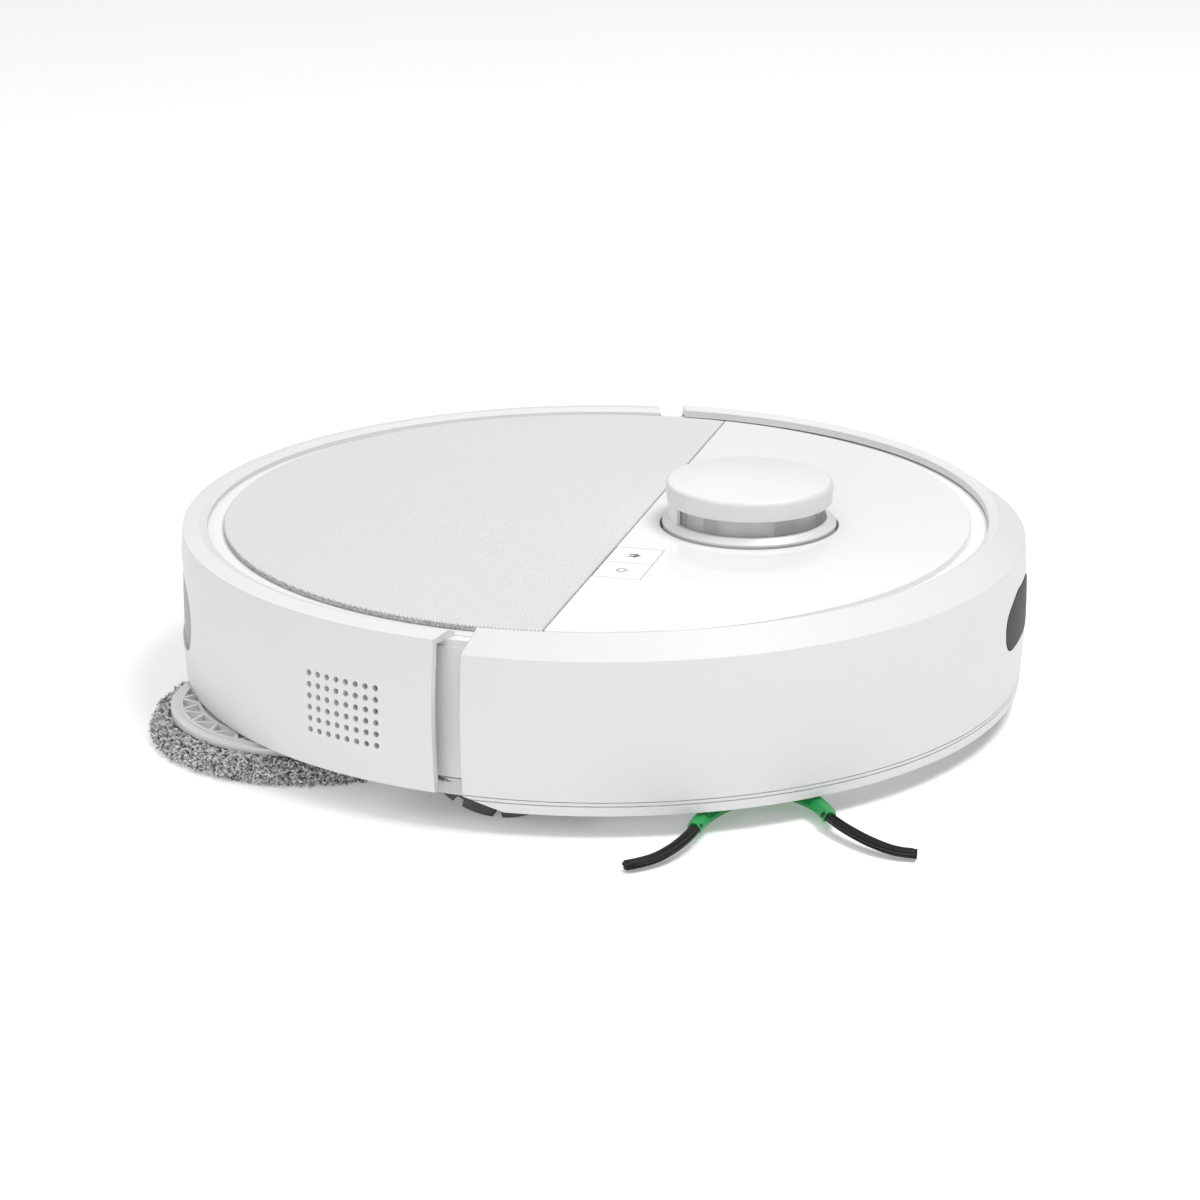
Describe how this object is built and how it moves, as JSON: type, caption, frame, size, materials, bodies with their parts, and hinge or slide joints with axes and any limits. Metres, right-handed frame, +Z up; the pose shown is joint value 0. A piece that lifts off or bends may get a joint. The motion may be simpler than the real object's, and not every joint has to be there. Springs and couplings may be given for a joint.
{
  "type": "robotic floor cleaner",
  "caption": "Round robotic floor cleaner with laser turret, hinged rear lid, side brush, roller brush and spinning mop pads",
  "frame": {"origin": "centre of the flat underside of the round base, 9 mm above the floor it runs on", "axes": "+X towards the bumper at the front, +Y to the cleaner's left, +Z up"},
  "size_m": [0.3518, 0.3757, 0.0957],
  "materials": {
    "white_gloss": "gloss",
    "white_satin": "satin",
    "inlay_weave": "fine woven texture",
    "chassis_grey": "matte",
    "window_black": "gloss",
    "recess_grey": "satin",
    "smoke_clear": "translucent",
    "bin_smoke": "translucent",
    "tank_clear": "translucent",
    "mechanism_black": "matte",
    "motor_grey": "matte",
    "steel": "brushed",
    "contact_metal": "polished",
    "sensor_dark": "gloss",
    "filter_fibre": "pleated fibre",
    "rubber_black": "matte",
    "board_green": "satin",
    "battery_wrap": "satin",
    "tread": "matte",
    "brush_green": "satin",
    "bristle_black": "fibrous",
    "roller_rubber": "matte",
    "mop_fibre": "curly microfibre",
    "laser_black": "satin",
    "lens_dark": "coated"
  },
  "bodies": {
    "chassis": {"base_shell": "chassis_grey", "chassis_frame": "chassis_grey", "top_frame": "white_satin", "bin_bay": "chassis_grey", "deck_panel": "white_gloss", "rear_shell": "white_satin", "rear_window": "recess_grey", "bumper_springs": "steel", "lid_hinges": "steel", "key_switches": "board_green", "turret_springs": "steel", "lidar_base": "mechanism_black", "lidar_belt": "rubber_black", "dust_bin": "bin_smoke", "bin_cover": "motor_grey", "bin_filter": "filter_fibre", "water_tank": "tank_clear", "tank_cover": "motor_grey", "suction_duct": "rubber_black", "fan_housing": "mechanism_black", "battery_pack": "battery_wrap", "battery_cover": "chassis_grey", "circuit_boards": "board_green", "speaker": "mechanism_black", "charge_contacts": "contact_metal", "cliff_windows": "sensor_dark", "case_screws": "steel", "brush_housing": "motor_grey", "brush_guard": "motor_grey", "side_brush_gearbox": "mechanism_black", "left_mop_gearbox": "mechanism_black"},
    "bumper": {"bumper_shell": "white_satin", "bumper_trim": "white_satin", "front_window": "window_black"},
    "lid": {"lid_plate": "white_gloss", "lid_inlay": "inlay_weave"},
    "turret": {"turret_housing": "white_gloss", "turret_window": "smoke_clear"},
    "laser_head": {"lidar_rotor": "laser_black", "lidar_lenses": "lens_dark"},
    "laser_drive": {"lidar_pulley": "motor_grey"},
    "home_key": {"home_key": "white_gloss"},
    "clean_key": {"clean_key": "white_gloss"},
    "left_arm": {"left_drive_gearbox": "mechanism_black"},
    "left_wheel": {"left_wheel_hub": "motor_grey", "left_tyre": "tread"},
    "right_arm": {"right_drive_gearbox": "mechanism_black"},
    "right_wheel": {"right_wheel_hub": "motor_grey", "right_tyre": "tread"},
    "caster": {"caster_fork": "mechanism_black"},
    "caster_roller": {"caster_wheel": "rubber_black"},
    "roller": {"main_roller": "roller_rubber"},
    "side_brush": {"side_brush_arms": "brush_green", "side_brush_bristles": "bristle_black"},
    "left_mop": {"left_mop_plate": "white_gloss", "left_mop_pad": "mop_fibre"},
    "mop_arm": {"right_mop_gearbox": "mechanism_black"},
    "right_mop": {"right_mop_plate": "white_gloss", "right_mop_pad": "mop_fibre"},
    "fan": {"fan_impeller": "motor_grey"}
  },
  "joints": [
    {"name": "bumper_press", "type": "slide", "parent": "chassis", "child": "bumper", "axis": [-1, 0, 0], "range_m": [0, 0.0045], "stiffness_N_per_m": 400, "springref_m": -0.004, "deforming": ["bumper_springs"]},
    {"name": "lid_hinge", "type": "hinge", "parent": "chassis", "child": "lid", "pos_m": [0.0152, 0, 0.0626], "axis": [0, 1, 0], "range_deg": [0, 60]},
    {"name": "turret_press", "type": "slide", "parent": "chassis", "child": "turret", "axis": [0, 0, -1], "range_m": [0, 0.001], "stiffness_N_per_m": 1500, "springref_m": -0.002, "deforming": ["turret_springs"]},
    {"name": "laser_spin", "type": "hinge", "parent": "chassis", "child": "laser_head", "pos_m": [0.062, 0, 0.07], "axis": [0, 0, 1], "continuous": true},
    {"name": "laser_pulley_spin", "type": "hinge", "parent": "chassis", "child": "laser_drive", "pos_m": [0.087, 0, 0.05], "axis": [0, 0, 1], "continuous": true},
    {"name": "home_key_press", "type": "slide", "parent": "chassis", "child": "home_key", "axis": [0, 0, -1], "range_m": [0, 0.0006], "stiffness_N_per_m": 1000, "springref_m": -0.0006},
    {"name": "clean_key_press", "type": "slide", "parent": "chassis", "child": "clean_key", "axis": [0, 0, -1], "range_m": [0, 0.0006], "stiffness_N_per_m": 1000, "springref_m": -0.0006},
    {"name": "left_suspension", "type": "hinge", "parent": "chassis", "child": "left_arm", "pos_m": [0.044, 0.1225, 0.034], "axis": [0, -1, 0], "range_deg": [0, 18], "stiffness_Nm_per_rad": 0.8, "springref_deg": 20.05},
    {"name": "left_wheel_spin", "type": "hinge", "parent": "left_arm", "child": "left_wheel", "pos_m": [0, 0.147, 0.025], "axis": [0, 1, 0], "continuous": true},
    {"name": "right_suspension", "type": "hinge", "parent": "chassis", "child": "right_arm", "pos_m": [0.044, -0.1225, 0.034], "axis": [0, -1, 0], "range_deg": [0, 18], "stiffness_Nm_per_rad": 0.8, "springref_deg": 20.05},
    {"name": "right_wheel_spin", "type": "hinge", "parent": "right_arm", "child": "right_wheel", "pos_m": [0, -0.147, 0.025], "axis": [0, 1, 0], "continuous": true},
    {"name": "caster_swivel", "type": "hinge", "parent": "chassis", "child": "caster", "pos_m": [0.132, 0, 0.02], "axis": [0, 0, 1], "continuous": true},
    {"name": "caster_roll", "type": "hinge", "parent": "caster", "child": "caster_roller", "pos_m": [0.124, 0, 0.005], "axis": [0, 1, 0], "continuous": true},
    {"name": "roller_spin", "type": "hinge", "parent": "chassis", "child": "roller", "pos_m": [0.052, 0, 0.0145], "axis": [0, 1, 0], "continuous": true},
    {"name": "side_brush_spin", "type": "hinge", "parent": "chassis", "child": "side_brush", "pos_m": [0.099, -0.118, 0], "axis": [0, 0, 1], "continuous": true, "deforming": ["side_brush_bristles"]},
    {"name": "left_mop_spin", "type": "hinge", "parent": "chassis", "child": "left_mop", "pos_m": [-0.086, 0.07, 0], "axis": [0, 0, 1], "continuous": true},
    {"name": "mop_arm_swing", "type": "hinge", "parent": "chassis", "child": "mop_arm", "pos_m": [-0.0582, -0.1066, 0.014], "axis": [0, 0, -1], "range_deg": [0, 24]},
    {"name": "right_mop_spin", "type": "hinge", "parent": "mop_arm", "child": "right_mop", "pos_m": [-0.0985, -0.0845, 0], "axis": [0, 0, 1], "continuous": true},
    {"name": "fan_spin", "type": "hinge", "parent": "chassis", "child": "fan", "pos_m": [0.07, 0.084, 0.048], "axis": [0, 0, 1], "continuous": true}
  ],
  "couplings": [
    {"joint": "laser_pulley_spin", "follows": "laser_spin", "ratio": 3.5}
  ]
}
